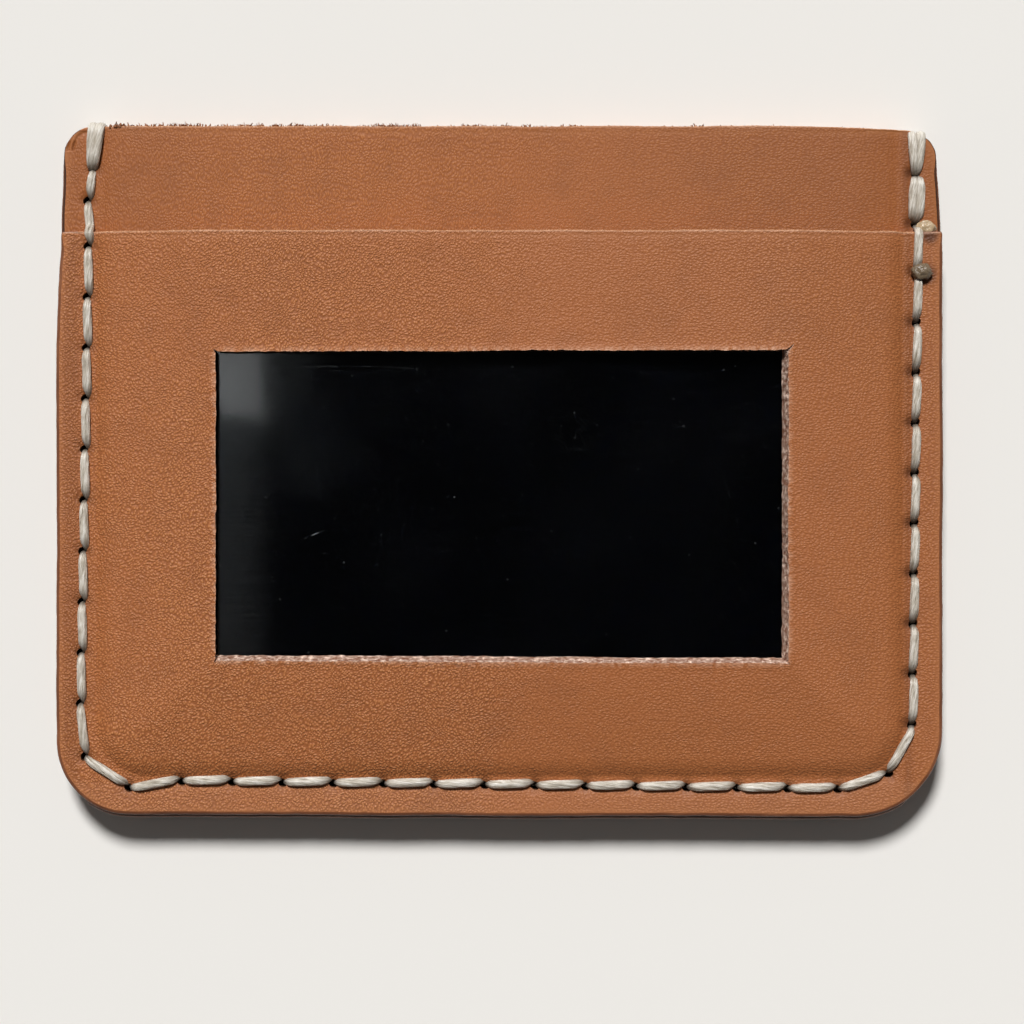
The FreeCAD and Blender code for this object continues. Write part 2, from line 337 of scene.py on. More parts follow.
def burnished_edge():
    """Edges rubbed dark and smooth, with the lie of the layers still showing."""
    s = Shader("burnished_edge")
    even = s.place()
    height = s.node("ShaderNodeSeparateXYZ", {"Vector": even}).outputs["Z"]
    layers = s.noise(s.place((0.12, 0.12, 2.2)), 1.6, 4.0, 0.65)
    blotch = s.noise(even, 0.35, 3.0, 0.6)
    colour = s.ramp(layers, (0.25, srgb(88, 50, 30)), (0.55, srgb(124, 74, 46)), (0.85, srgb(158, 102, 68)))
    colour = s.mix(s.span(blotch, 0.40, 0.72, 0.0, 0.5), colour, srgb(104, 60, 36))
    for seam in (MIDDLE_Z, FRONT_Z):
        off = s.math("ABSOLUTE", s.minus(height, seam))
        colour = s.mix(s.span(off, 0.03, 0.16, 0.8, 0.0), colour, srgb(48, 27, 17))
    return s.set(base_color=colour, normal=s.bump(layers, 0.07), roughness=0.42, specular_ior_level=0.45)


def flesh_side():
    """The suede-like inside of the leather."""
    s = Shader("flesh_side")
    even = s.place()
    nap = s.noise(even, 4.2, 4.0, 0.7)
    drift = s.noise(even, 0.25, 3.0, 0.6)
    colour = s.ramp(nap, (0.30, srgb(150, 106, 72)), (0.70, srgb(196, 152, 113)))
    colour = s.mix(s.span(drift, 0.4, 0.7, 0.0, 0.4), colour, srgb(160, 114, 78))
    return s.set(base_color=colour, normal=s.bump(nap, 0.10), roughness=0.95, specular_ior_level=0.1,
                 sheen_weight=0.15, sheen_roughness=0.5)


def mottled(name, grain, dark, light, depth, **values):
    """A plain material, mottled between two colours. grain is for Nodes.noise."""
    s = Shader(name)
    spots = s.noise(s.place(), *grain)
    return s.set(base_color=s.ramp(spots, (0.3, dark), (0.7, light)), normal=s.bump(spots, depth), **values)


def thread_fibres():
    """Waxed thread: silvery fibres that run nearly lengthwise, darkened by dirt and painted shade where it
    dives into a hole.
    """
    s = Shader("waxed_thread")
    spot = s.node("ShaderNodeTexCoord").outputs["UV"]
    fibre_place = s.node("ShaderNodeMapping", {"Vector": spot, "Scale": (16, 0.45, 1)}).outputs[0]
    ply_place = s.node("ShaderNodeMapping", {"Vector": spot, "Scale": (7, 0.25, 1)}).outputs[0]
    fibres = s.noise(fibre_place, 1.9, 4.0, 0.65)
    plies = s.noise(ply_place, 1.4, 2.0, 0.5)
    blend = s.plus(s.times(fibres, 0.55), s.times(plies, 0.45))
    # light along the fibres and dark between them: the thread's own colour, with painted highlight and
    # painted shade
    colour = s.ramp(
        blend, (0.34, srgb(112, 98, 80)), (0.47, srgb(192, 182, 166)), (0.60, srgb(236, 230, 220)))
    wax = s.noise(s.place(), 0.7, 3.0, 0.6)
    colour = s.mix(s.span(wax, 0.45, 0.72, 0.0, 0.40), colour, srgb(172, 160, 142))
    # dirt, and painted shade where the thread dives into a hole
    colour = s.mix(s.attribute("dirt_and_shade"), colour, srgb(72, 55, 38))
    return s.set(base_color=colour, normal=s.bump(blend, 0.22), roughness=0.34, specular_ior_level=0.6,
                 sheen_weight=0.06, sheen_roughness=0.4)


def melted_thread(name, light, dark, roughness):
    """Thread burnt to a bead: painted highlight on top and painted shade below, with sooty grains."""
    s = Shader(name)
    even = s.place()
    lumps = s.noise(even, 1.3, 4.0, 0.6)
    grains = s.noise(even, 4.5, 3.0, 0.6)
    # the top attribute is painted light: lighter above and towards +Y, darker below
    tone = s.plus(s.times(s.attribute("top"), 0.7), s.times(lumps, 0.5))
    colour = s.ramp(tone, (0.35, dark), (0.72, light))
    colour = s.mix(s.span(grains, 0.55, 0.70, 0.0, 0.55), colour, dark)
    return s.set(base_color=colour, normal=s.bump(grains, 0.08), roughness=roughness, specular_ior_level=0.5)


def card_face():
    """Gloss black plastic with faint wipe marks."""
    s = Shader("card_black")
    even = s.place()
    wipes = s.noise(s.place((0.05, 1.5, 1), math.radians(2)), 1.0, 3.0, 0.6)
    smudge = s.noise(even, 0.12, 3.0, 0.5)
    colour = s.mix(s.span(wipes, 0.50, 0.85, 0.0, 0.5), srgb(3, 4, 8), srgb(9, 11, 17))
    rough = s.plus(s.span(smudge, 0.4, 0.8, 0.10, 0.24), s.span(wipes, 0.5, 0.9, 0.0, 0.08))
    return s.set(base_color=colour, normal=s.bump(wipes, 0.004), roughness=rough, specular_ior_level=0.35)


def clear_sheet():
    """Clear plastic with hair scratches, a long curved one, a patch of swirls, and dust."""
    s = Shader("clear_sheet")
    even = s.place()
    apart = s.node("ShaderNodeSeparateXYZ", {"Vector": even})
    x, y = apart.outputs["X"], apart.outputs["Y"]

    def distance(centre):
        dx = s.minus(x, centre[0])
        dy = s.minus(y, centre[1])
        return s.math("SQRT", s.plus(s.times(dx, dx), s.times(dy, dy)))

    def between(value, low, high, ease):
        return s.times(s.span(value, low, low + ease), s.span(value, high - ease, high, 1.0, 0.0))

    def arc(centre, radius, width, x_range, y_range):
        off = s.math("ABSOLUTE", s.minus(distance(centre), radius))
        line = s.span(off, width * 0.4, width, 1.0, 0.0)
        box = s.times(between(x, *x_range, 2.0), between(y, *y_range, 0.3))
        return s.times(s.times(line, box), s.span(s.noise(even, 1.4, 2.0), 0.42, 0.60))

    long_scratch = arc((-17.5, -98.0), 109.6, 0.05, (-31.0, -8.0), (9.0, 13.0))
    short_scratch = arc((-10.0, -34.0), 28.6, 0.08, (-23.4, -19.9), (-8.8, -6.6))
    swirl = s.math("FRACT", s.times(distance((6.2, 1.6)), 2.4))
    swirl = s.times(s.span(swirl, 0.78, 0.95), s.span(distance((8.6, 4.0)), 1.5, 4.2, 1.0, 0.0))
    swirl = s.times(swirl, s.span(s.noise(even, 1.1, 2.0), 0.45, 0.65))
    specks = s.span(s.cells(even, 0.10), 0.006, 0.009, 0.32, 0.0)
    fine_specks = s.span(s.cells(even, 0.23), 0.012, 0.019, 0.11, 0.0)
    dust = s.most(specks, fine_specks)
    marks = dust
    for mark, strength in ((long_scratch, 0.08), (short_scratch, 0.45), (swirl, 0.022)):
        marks = s.most(marks, s.times(mark, strength))
    marks = s.times(marks, 0.6)
    hairs = s.noise(s.place((0.06, 3.0, 1), math.radians(-2)), 1.6, 2.0)
    haze = s.times(s.span(hairs, 0.30, 0.75, 0.003, 0.022), s.span(x, -32.5, -25.0, 1.0, 0.0))
    marks = s.most(marks, haze)
    wave = s.noise(s.place((1, 1, 0)), 0.05, 1.0)
    s.set(base_color=srgb(238, 244, 246), transmission_weight=1.0, ior=1.46,
          roughness=s.span(hairs, 0.45, 0.80, 0.045, 0.07), normal=s.bump(wave, 0.03))
    dusty = s.node("ShaderNodeBsdfDiffuse", {"Color": srgb(196, 200, 202)}).outputs[0]
    both = s.node("ShaderNodeMixShader", {0: marks, 1: s.bsdf.outputs[0], 2: dusty}).outputs[0]
    s.tree.links.new(both, s.output.inputs["Surface"])
    return s.material


GRAIN_FRONT = leather_grain("leather_front", (1.0, 0.98, 0.94), 0.15, 40, 0.85, 0.30, (0.78, 0.50))
GRAIN_REAR = leather_grain("leather_rear", (0.975, 0.93, 0.78), 0.11, 4, 0.62, 0.26, (0.50, 0.40))
WINDOW_CUT = raw_edge("leather_window_cut", srgb(255, 226, 206), srgb(128, 82, 60), (0.5, 0.5, 0.6))
MOUTH_CUT = raw_edge("leather_mouth_cut", srgb(228, 178, 142), srgb(176, 120, 82))
BURNISHED = burnished_edge()
FLESH = flesh_side()
# the awl holes' walls are coloured dark brown: painted shade inside the holes
HOLE_WALL_SHADED = mottled("hole_wall_painted_shade", (4.0, 3.0, 0.6), srgb(78, 49, 32), srgb(116, 76, 50), 0.05,
                    roughness=0.9, specular_ior_level=0.1)
TAPE = mottled("tape_film", (0.8, 3.0, 0.5), srgb(205, 200, 186), srgb(222, 218, 206), 0.01, roughness=0.5)
THREAD = thread_fibres()
FRONT_MATERIALS = [GRAIN_FRONT, FLESH, BURNISHED, MOUTH_CUT, WINDOW_CUT, HOLE_WALL_SHADED]
REAR_MATERIALS = [GRAIN_REAR, FLESH, BURNISHED, MOUTH_CUT, WINDOW_CUT, HOLE_WALL_SHADED]
GRAIN, INSIDE, OUTER_EDGE, MOUTH_EDGE, WINDOW_EDGE, HOLE_EDGE = range(6)

# ---- making a piece


def make_piece(name, points, faces, materials, body="holder", stands_for=(), slot="leather",
               face_materials=None, attributes=None, uvs=None, sharp=50):
    """A mesh piece from millimetre points, riding on a body and standing for its CAD nodes."""
    mesh = bpy.data.meshes.new(name)
    mesh.from_pydata((np.asarray(points, float) * MM).tolist(), [], faces)
    for material in materials:
        mesh.materials.append(material)
    if face_materials is not None:
        mesh.polygons.foreach_set("material_index", np.asarray(face_materials, np.int32))
    for key, values in (attributes or {}).items():
        layer = mesh.attributes.new(key, "FLOAT", "POINT")
        layer.data.foreach_set("value", np.asarray(values, np.float32))
    if uvs is not None:
        layer = mesh.uv_layers.new(name="fibre")
        layer.data.foreach_set("uv", np.asarray(uvs, np.float32).ravel())
    mesh.polygons.foreach_set("use_smooth", np.ones(len(mesh.polygons), bool))
    mesh.set_sharp_from_angle(angle=math.radians(sharp))
    mesh.update()
    piece = bpy.data.objects.new(name, mesh)
    bpy.context.scene.collection.objects.link(piece)
    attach(piece, body)
    if stands_for:
        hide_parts(*stands_for)


def tube_faces(rings, sides):
    """Quads round a tube that is given ring by ring, and a face across each end."""
    grid = np.arange(rings * sides).reshape(rings, sides)
    beside = np.roll(grid, -1, 1)
    quads = np.stack([grid[:-1], beside[:-1], beside[1:], grid[1:]], -1)
    return quads.reshape(-1, 4).tolist() + [grid[0, ::-1].tolist(), grid[-1].tolist()]


# ---- outlines and stitch holes


def rounded_loop(corners, step):
    """Points along an outline of (x, y, radius) corners, taken anticlockwise, about step apart."""
    arcs = []
    for i, (x, y, radius) in enumerate(corners):
        here = Vector((x, y))
        before = (Vector(corners[i - 1][:2]) - here).normalized()
        after = (Vector(corners[(i + 1) % len(corners)][:2]) - here).normalized()
        if not radius:
            arcs.append([here])
            continue
        half = before.angle(after) / 2
        centre = here + (before + after).normalized() * radius / math.sin(half)
        spoke = here + before * radius / math.tan(half) - centre
        sweep = math.pi - 2 * half
        count = max(3, math.ceil(radius * sweep / step))
        first = math.atan2(spoke.y, spoke.x)
        angles = [first + sweep * k / count for k in range(count + 1)]
        arcs.append([centre + Vector((math.cos(a), math.sin(a))) * radius for a in angles])
    points = []
    for i, arc in enumerate(arcs):
        points += arc
        start, end = arc[-1], arcs[(i + 1) % len(arcs)][0]
        count = max(1, round((end - start).length / step))
        points += [start.lerp(end, k / count) for k in range(1, count)]
    return np.array([tuple(p) for p in points])


def outwards_of(loop):
    """The outward normal at each point of an anticlockwise loop."""
    tangent = np.roll(loop, -1, 0) - np.roll(loop, 1, 0)
    tangent /= np.linalg.norm(tangent, axis=1, keepdims=True)
    return np.stack([tangent[:, 1], -tangent[:, 0]], 1)


def wobble(points, size, pitch, seed):
    """A gentle irregularity at each point."""
    return np.array([noise.noise(Vector((x / pitch, y / pitch, seed))) for x, y in points[:, :2]]) * size


def panel_loop(top):
    """Outline of a panel that ends at top, with the small unevenness of a hand-cut edge."""
    mouth = top < TOP - 1
    share = (top - RIGHT_SHOULDER_Y) / (TOP - RIGHT_SHOULDER_Y)
    right = RIGHT + (TOP_RIGHT_X - RIGHT) * share
    share = (top - LEFT_SHOULDER_Y) / (TOP - LEFT_SHOULDER_Y)
    left = LEFT + (TOP_LEFT_X - LEFT) * share
    corners = [
        (LEFT, BOTTOM + BOTTOM_LEFT_LIFT, LEFT_CORNER_R),
        (RIGHT, BOTTOM, RIGHT_CORNER_R),
        (RIGHT, RIGHT_SHOULDER_Y, 0),
    ]
    if mouth:
        corners += [(right, top, 0.3), (left, top, 0.3)]
    else:
        corners += [
            (right, top - TOP_SAG, TOP_CORNER_R),
            (TOP_SAG_X, top, 0),
            (left, top, TOP_CORNER_R),
        ]
    corners.append((LEFT, LEFT_SHOULDER_Y, 0))
    loop = rounded_loop(corners, LOOP_STEP)
    uneven = wobble(loop, 0.10, 9.0, 1.0) + wobble(loop, 0.05, 2.2, 6.0)
    if mouth:
        below = part_way(top - 0.4 - loop[:, 1], 0.01)
        uneven -= FRONT_TUCK * below * bell(top - loop[:, 1], 5) * (loop[:, 0] < 0)
        loop[:, 0] += FRONT_TUCK * (1 - below) * (loop[:, 0] < -49)
    else:
        above = part_way(loop[:, 1] - MOUTH + 3, 4) * part_way(TOP - loop[:, 1], 5)
        uneven += REAR_PROUD * above + REAR_BELOW * np.clip(REAR_BELOW_Y - loop[:, 1], 0, 1)
        uneven -= WRAP_NOTCH * np.exp(-((loop[:, 0] - WRAP_NOTCH_X) / 0.95) ** 4) * (loop[:, 1] > 30)
    return loop + outwards_of(loop) * uneven[:, None]


class Hole:
    """A stitch hole: its centre, the way the seam runs there, and the way to the outer edge."""

    def __init__(self, point, before, after):
        self.point = point
        self.along = (after - before).normalized()
        self.outwards = Vector((self.along.y, -self.along.x))
        self.way = "up" if self.along.y > 0.8 else "down" if self.along.y < -0.8 else "across"

    def at(self, out, along):
        return self.point + self.outwards * out + self.along * along


def make_holes():
    points = []
    for (x0, y0), (x1, y1), count in HOLE_RUNS:
        for i in range(count):
            share = i / max(count - 1, 1)
            points.append(Vector((x0 + (x1 - x0) * share, y0 + (y1 - y0) * share)))
    last = len(points) - 1
    return [Hole(p, points[max(i - 1, 0)], points[min(i + 1, last)]) for i, p in enumerate(points)]


HOLES = make_holes()
HOLE_POINTS = np.array([tuple(h.point) for h in HOLES])
UPPER_BEAD = HOLES[-2].at(1.42, -0.60)
LOWER_BEAD = HOLES[-3].at(0.78, -0.02)
# Painted shadow below and to the right of each melted end, on the leather: a place and its reach
BEAD_SHADOWS = [(UPPER_BEAD + Vector((0.30, -0.95)), 1.0), (LOWER_BEAD + Vector((0.62, -0.25)), 1.15)]


def hole_ring(hole):
    """The clockwise rim of one awl hole, a slanted oval."""
    ring = []
    for k in range(HOLE_SIDES):
        turn = -math.tau * k / HOLE_SIDES
        out = HOLE_OUT[hole.way] + math.cos(turn) * HOLE_LENGTH / 2
        along = math.sin(turn) * HOLE_WIDTH[hole.way] / 2 + HOLE_SLANT * math.cos(turn)
        ring.append(tuple(hole.at(out, along)))
    return np.array(ring)


def to_seam(points):
    """Distance from each point to the nearest hole, and to the nearest stitch."""
    points = points[:, :2]
    a, b = HOLE_POINTS[:-1], HOLE_POINTS[1:]
    run = b - a
    offset = points[:, None, :] - a[None]
    share = np.clip((offset * run).sum(2) / (run * run).sum(1), 0, 1)
    gap = np.linalg.norm(offset - share[..., None] * run, axis=2)
    hole_gap = np.linalg.norm(points[:, None, :] - HOLE_POINTS[None], axis=2)
    return hole_gap.min(1), gap.min(1)


# ---- the lie of the leather


def within_seam(points):
    """Distance inside the seam, at its sides and bottom."""
    side = SEAM_HALF - np.abs(points[:, 0])
    base = points[:, 1] - SEAM_BOTTOM
    corner = np.hypot(np.maximum(SEAM_CORNER - side, 0), np.maximum(SEAM_CORNER - base, 0))
    in_corner = (side < SEAM_CORNER) & (base < SEAM_CORNER)
    return np.maximum(np.where(in_corner, SEAM_CORNER - corner, np.minimum(side, base)), 0)


def swell(points, width):
    """0 at the seam, rising to 1 at width inside it. It runs out through the pocket mouths."""
    share = part_way(within_seam(points), width)
    return (1 - (1 - share) ** 2) * smooth(part_way(share, 0.2))


def outside_swell(points):
    """The front panel's outside: a short steep rise beside the seam, then a long gentle one to the window."""
    gap = within_seam(points)
    steep = 1 - (1 - part_way(gap, STEEP_WIDTH)) ** 2
    gentle = 1 - (1 - part_way(gap, GENTLE_WIDTH)) ** 1.25
    return STEEP_SHARE * steep + (1 - STEEP_SHARE) * gentle


def window_gap(points):
    """Distance outside the window's edge."""
    (left, low_left), (_, high_left), (right, high_right), (_, low_right) = WINDOW_OUTSIDE
    share = part_way(points[:, 0] - left, right - left)
    bottom = low_left + (low_right - low_left) * share
    top = high_left + (high_right - high_left) * share
    dx = np.maximum(np.maximum(left - points[:, 0], points[:, 0] - right), 0)
    dy = np.maximum(np.maximum(bottom - points[:, 1], points[:, 1] - top), 0)
    return np.hypot(dx, dy)


def pinch(points):
    """How far the thread pulls the leather in."""
    hole_gap, seam_gap = to_seam(points)
    return PUCKER * bell(hole_gap, PUCKER_R) + GROOVE * bell(seam_gap, GROOVE_R)


def front_top(points):
    lip = LIP * bell(window_gap(points), LIP_WIDTH)
    easy = outside_swell(points)
    wave = easy * 0.06 * (1 + np.sin(points[:, 0] / 7.3 + 1.0) * np.sin(points[:, 1] / 9.1 + 0.4))
    wave *= part_way(window_gap(points) - 4, 6)
    return STACK_TOP + FRONT_RISE * easy + lip + wave - pinch(points)


def front_under(points):
    return FRONT_Z + FRONT_RISE * swell(points, FRONT_SWELL)


def near_corner(points):
    """The creased corner of the middle panel."""
    return (points[:, 0] < CREASED_X) & (points[:, 1] > MOUTH - 0.5)


def creases(points):
    """Depth of the wrinkles round the top left corner, where the thread's pull bent the leather."""
    depth = np.zeros(len(points))
    near = near_corner(points)
    here = points[near, :2]
    reach = (here - CREASE_CENTRE) / CREASE_RADII
    out = np.hypot(reach[:, 0], reach[:, 1]) + wobble(here, 0.07, 1.9, 61.0)
    turn = np.arctan2(reach[:, 1], reach[:, 0])
    shown = bell(turn - CREASE_WAY, 0.85) * np.clip(0.7 + wobble(here, 1.2, 1.3, 67.0), 0, 1)
    depth[near] = CREASE_DEPTH * shown * sum(bell(out - share, 0.05) for share in CREASE_SHARES)
    return depth


def middle_top(points):
    shown = points[:, 1] > MOUTH - 1
    return FRONT_Z + MIDDLE_RISE * swell(points, MIDDLE_SWELL) - (pinch(points) + creases(points)) * shown


def middle_under(points):
    return MIDDLE_Z + MIDDLE_RISE * swell(points, MIDDLE_SWELL)


def back_top(points):
    return MIDDLE_Z - BACK_DROP * swell(points, BACK_SWELL)


def back_under(points):
    return BACK_Z - BACK_DROP * swell(points, BACK_SWELL) + 0.6 * pinch(points)


# ---- panels


def inside(points, ring):
    """Whether each point lies inside a ring: counts the edges that a ray to the right crosses."""
    result = np.zeros(len(points), bool)
    start, end = ring, np.roll(ring, -1, 0)
    for first in range(0, len(points), 4000):
        x = points[first:first + 4000, :1]
        y = points[first:first + 4000, 1:2]
        spans = (start[:, 1] <= y) != (end[:, 1] <= y)
        climb = np.where(end[:, 1] == start[:, 1], 1e-9, end[:, 1] - start[:, 1])
        slope = (end[:, 0] - start[:, 0]) / climb
        crossed = x < start[:, 0] + (y - start[:, 1]) * slope
        result[first:first + 4000] = (spans & crossed).sum(1) % 2 == 1
    return result


def hex_grid(low, high, pitch):
    rows = np.arange(low[1], high[1], pitch * 0.866)
    columns = np.arange(low[0], high[0], pitch)
    x, y = np.meshgrid(columns, rows)
    x[1::2] += pitch / 2
    return np.stack([x.ravel(), y.ravel()], 1)


def nearest_gap(points, others):
    """Distance from each point to the nearest of the others."""
    tree = kdtree.KDTree(len(others))
    for i, other in enumerate(others):
        tree.insert((*other, 0), i)
    tree.balance()
    return np.array([tree.find((x, y, 0))[2] for x, y in points[:, :2]])


def filled(rings, pitch_at, extra):
    """Triangles inside the first ring and outside the others, through the extra points.

    pitch_at lists (pitch, test) for the points between.
    """
    outer = rings[0]
    fixed = np.concatenate(rings + [extra])
    grids = [extra]
    for pitch, wanted in pitch_at:
        grid = hex_grid(outer.min(0), outer.max(0), pitch)
        grid = grid[wanted(grid)]
        grid = grid[inside(grid, outer)]
        for ring in rings[1:]:
            near = np.all((grid > ring.min(0)) & (grid < ring.max(0)), axis=1)
            drop = np.zeros(len(grid), bool)
            drop[near] = inside(grid[near], ring)
            grid = grid[~drop]
        grids.append(grid[nearest_gap(grid, fixed) > pitch * 0.62])
    points = np.concatenate(rings + grids)
    edges = []
    first = 0
    for ring in rings:
        edges += [(first + i, first + (i + 1) % len(ring)) for i in range(len(ring))]
        first += len(ring)
    found = delaunay_2d_cdt([Vector(p) for p in points], edges, [], 0, 1e-7)
    source = [ids[0] for ids in found[3]]
    triangles = np.array([[source[i] for i in face] for face in found[2]])
    on_rings = np.all(triangles < first, axis=1)
    centres = points[triangles].mean(1)
    keep = np.ones(len(triangles), bool)
    keep[on_rings] = inside(centres[on_rings], outer)
    for ring in rings[1:]:
        near = keep & on_rings & np.all((centres > ring.min(0)) & (centres < ring.max(0)), axis=1)
        keep[near] = ~inside(centres[near], ring)
    return points, triangles[keep]


class PanelMesh:
    """Collects a panel's two faces and the walls between them."""

    def __init__(self, rings, pitch_at, extra, top, under, top_kind, under_kind):
        flat, triangles = filled(rings, pitch_at, extra)
        count = len(flat)
        upper = np.column_stack([flat, top(flat)])
        lower = np.column_stack([flat, under(flat)])
        self.points = [upper, lower]
        self.total = 2 * count
        self.faces = [tuple(t) for t in triangles.tolist()]
        self.kinds = [top_kind] * len(triangles) + [under_kind] * len(triangles)
        self.faces += [tuple(t[::-1]) for t in (triangles + count).tolist()]
        self.ring_starts = np.cumsum([0] + [len(r) for r in rings[:-1]])
        self.ring_sizes = [len(r) for r in rings]
        self.upper, self.lower, self.count = upper, lower, count

    def ring_ids(self, number):
        first = self.ring_starts[number]
        return np.arange(first, first + self.ring_sizes[number])

    def ring(self, number):
        """The upper and lower points of one ring."""
        ids = self.ring_ids(number)
        return self.upper[ids], self.lower[ids]

    def wall(self, number, rows, kinds):
        """Quads from the upper ring through the given rows of points to the lower ring."""
        ids = self.ring_ids(number)
        levels = [ids]
        for row in rows:
            levels.append(np.arange(self.total, self.total + len(row)))
            self.points.append(row)
            self.total += len(row)
        levels.append(ids + self.count)
        for high, low in zip(levels, levels[1:]):
            quads = np.stack([high, low, np.roll(low, -1), np.roll(high, -1)], 1)
            self.faces += [tuple(q) for q in quads.tolist()]
            self.kinds += list(kinds)

    def all_points(self):
        return np.concatenate(self.points)


def edge_radius(loop, raw_above):
    """How far the edge is rounded over: sharp along the raw mouth, worn round elsewhere."""
    share = part_way(raw_above - loop[:, 1], 2.5)
    return RAW_R + (EDGE_R - RAW_R) * share * share * (3 - 2 * share)


def outer_wall(panel, loop, radius, raw_above, round_top, seed):
    """The outside edge: rounded over at its top or its bottom, rubbed smooth, and raw above raw_above."""
    upper, lower = panel.ring(0)
    outwards = outwards_of(loop)
    rows = []
    turns = [math.pi / 8 * k for k in range(1, 5)]
    barely = np.full(len(loop), RAW_R)
    top_r, low_r = (radius, barely) if round_top else (barely, radius)

    def row(out, z, rough):
        grain = wobble(np.column_stack([loop[:, 0] * 4, loop[:, 1] * 4]), rough, 1.0, seed + len(rows))
        flat = upper[:, :2] + outwards * (out + grain)[:, None]
        return np.column_stack([flat, z])

    for turn in turns:
        rows.append(row(radius * math.sin(turn), upper[:, 2] - top_r * (1 - math.cos(turn)), ROUNDED_ROUGH))
    high = upper[:, 2] - top_r
    low = lower[:, 2] + low_r
    for share in (0.25, 0.5, 0.75):
        rows.append(row(radius, high + (low - high) * share, WALL_ROUGH))
    for turn in reversed(turns):
        rows.append(row(radius * math.sin(turn), lower[:, 2] + low_r * (1 - math.cos(turn)), ROUNDED_ROUGH))
    raw = loop[:, 1] > raw_above - 0.25
    raw &= np.abs(loop[:, 0]) < TOP_RIGHT_X - TOP_CORNER_R * 0.6
    panel.wall(0, rows, np.where(raw, MOUTH_EDGE, OUTER_EDGE))


def hole_walls(panel, first, count):
    for number in range(first, first + count):
        upper, lower = panel.ring(number)
        rows = [upper + (lower - upper) * share for share in (0.12, 0.5, 0.88)]
        panel.wall(number, rows, [HOLE_EDGE] * len(upper))


def near_seam(points):
    return to_seam(points)[1] < 1.5


def away_from_seam(points):
    return ~near_seam(points)


# Darkening of the grain, 0 to 1: dirt and painted shade. Each pair is how strong it is, then how far it
# reaches.
HOLE_DIRT_AND_SHADE_REACH = 0.75
# dark spots where the leather dimples beside each hole: dirt and painted shade
DIMPLE_DIRT_AND_SHADE, DIMPLE_DIRT_AND_SHADE_PLACE = (0.24, 0.60), (-0.65, 0.1)      # a spot inwards of each hole, by Hole.at
RIGHT_SEAM_SHADE = (0.26, 0.55)
LEFT_MARGIN_FRONT, LEFT_MARGIN_REAR = 0.21, 0.08
CREASE_SHADE, CORNER_SHADE, CORNER_PALE = 1.9, 0.05, 0.12
REAR_END_SHADE = 0.12      # the left and right ends of the strip above the front panel
WORN_SHADE = 0.08          # below the window
# strength of the painted shadow below each melted end
BEAD_SHADOW = 0.95
# Paler rims, mostly painted highlight: along the raw edge of each mouth, on the bottom margin below the seam,
# and on the raised lip round the window
MOUTH_HIGHLIGHT, MARGIN_HIGHLIGHT, WINDOW_LIP_HIGHLIGHT = (0.8, 0.15), 0.05, (0.62, 0.20)


def surface_attributes(points, loop, seam_dirt_and_shade, mouth, window):
    """Where the grain is rubbed smooth, where it is darker from dirt and painted shade, and paler rims of
    painted highlight along the cuts.
    """
    x, y = points[:, 0], points[:, 1]
    edge_gap = nearest_gap(points, loop)
    edge = bell(edge_gap, 0.7) * (y < mouth - 0.5)
    hole_gap, _ = to_seam(points)
    dimple_spots = np.array([tuple(hole.at(*DIMPLE_DIRT_AND_SHADE_PLACE)) for hole in HOLES])
    dimple_gap = np.linalg.norm(points[:, None, :2] - dimple_spots[None], axis=2).min(1)
    left_margin = part_way(-47.9 - x, 0.8) * part_way(edge_gap - 0.5, 0.5)
    # dirt, and painted shade in the puckers round the holes
    dirt_and_shade = seam_dirt_and_shade * bell(hole_gap, HOLE_DIRT_AND_SHADE_REACH)
    dirt_and_shade += (LEFT_MARGIN_FRONT if window else LEFT_MARGIN_REAR) * left_margin
    # dirt and painted shade in the dimples beside the holes
    dirt_and_shade += DIMPLE_DIRT_AND_SHADE[0] * bell(dimple_gap, DIMPLE_DIRT_AND_SHADE[1])
    dirt_and_shade += RIGHT_SEAM_SHADE[0] * bell(x - SEAM_HALF - 0.7, RIGHT_SEAM_SHADE[1])
    # painted highlight along the mouth's edge and on the bottom margin
    rim = MOUTH_HIGHLIGHT[0] * bell(mouth - y, MOUTH_HIGHLIGHT[1]) * (1 if window else 0.5)
    rim += MARGIN_HIGHLIGHT * part_way(SEAM_BOTTOM - 0.4 - y, 0.5)
    if window:
        dirt_and_shade += WORN_SHADE * np.exp(-((x - 3) / 20) ** 2 - ((y + 29) / 6) ** 2)
        # painted highlight on the crumbly raised lip round the window
        crumbs = np.clip(0.5 + wobble(points, 1.3, 0.45, 81.0), 0, 1)
        rim = np.maximum(rim, WINDOW_LIP_HIGHLIGHT[0] * crumbs * bell(window_gap(points), WINDOW_LIP_HIGHLIGHT[1]))
    else:
        dirt_and_shade += CORNER_SHADE * part_way(-46.0 - x, 1.5) * part_way(y - MOUTH, 2)
        dirt_and_shade += CREASE_SHADE * creases(points)
        dirt_and_shade += REAR_END_SHADE * (part_way(-30 - x, 12) + part_way(x - 8, 25))
        dirt_and_shade -= CORNER_PALE * part_way(-45.5 - x, 1.5)
    # painted shadow of each melted end on the leather
    for (shadow_x, shadow_y), reach in BEAD_SHADOWS:
        dirt_and_shade += BEAD_SHADOW * np.exp(-(np.hypot(x - shadow_x, y - shadow_y) / reach) ** 4)
    return {"edge": edge, "dirt_and_shade": np.clip(dirt_and_shade, 0, 1), "rim": np.clip(rim, 0, 1)}


